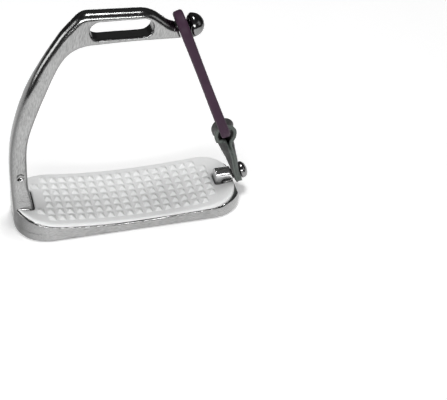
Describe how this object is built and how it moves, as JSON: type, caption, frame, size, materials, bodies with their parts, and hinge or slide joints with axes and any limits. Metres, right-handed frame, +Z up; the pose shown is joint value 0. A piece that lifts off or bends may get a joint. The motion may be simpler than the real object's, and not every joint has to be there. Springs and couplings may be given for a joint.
{
  "type": "stirrup iron",
  "caption": "Quick-release stirrup iron: open-sided polished casting with leather slot, gripped rubber tread, and a rubber ring on a leather tab that closes the open side.",
  "frame": {"origin": "middle of the foot plate on the rest face, under the bar between the two plate windows", "axes": "+X along the foot plate towards the open side that the rubber ring closes, +Y across the foot plate, +Z up towards the leather slot"},
  "size_m": [0.1376, 0.047, 0.1326],
  "materials": {
    "polished_metal": "mirror polished, soft haze",
    "turned_metal": "polished",
    "white_rubber": "matte moulded",
    "ring_rubber": "dull with a soft sheen",
    "tab_leather": "waxed, with raw grey-green edges"
  },
  "bodies": {
    "iron": {"iron_frame": "polished_metal", "top_knob": "turned_metal", "lower_stud": "turned_metal", "tread_pad": "white_rubber"},
    "tab": {"leather_tab": "tab_leather"},
    "ring": {"rubber_ring": "ring_rubber"}
  },
  "joints": [
    {"name": "tab_turn", "type": "hinge", "parent": "iron", "child": "tab", "pos_m": [0.06653, 0, 0.0122], "axis": [0.9426, 0, 0.3338], "range_deg": [-180, 180]},
    {"name": "ring_release", "type": "hinge", "parent": "tab", "child": "ring", "pos_m": [0.05786, 0, 0.04362], "axis": [0, 1, 0], "range_deg": [0, 120]}
  ]
}
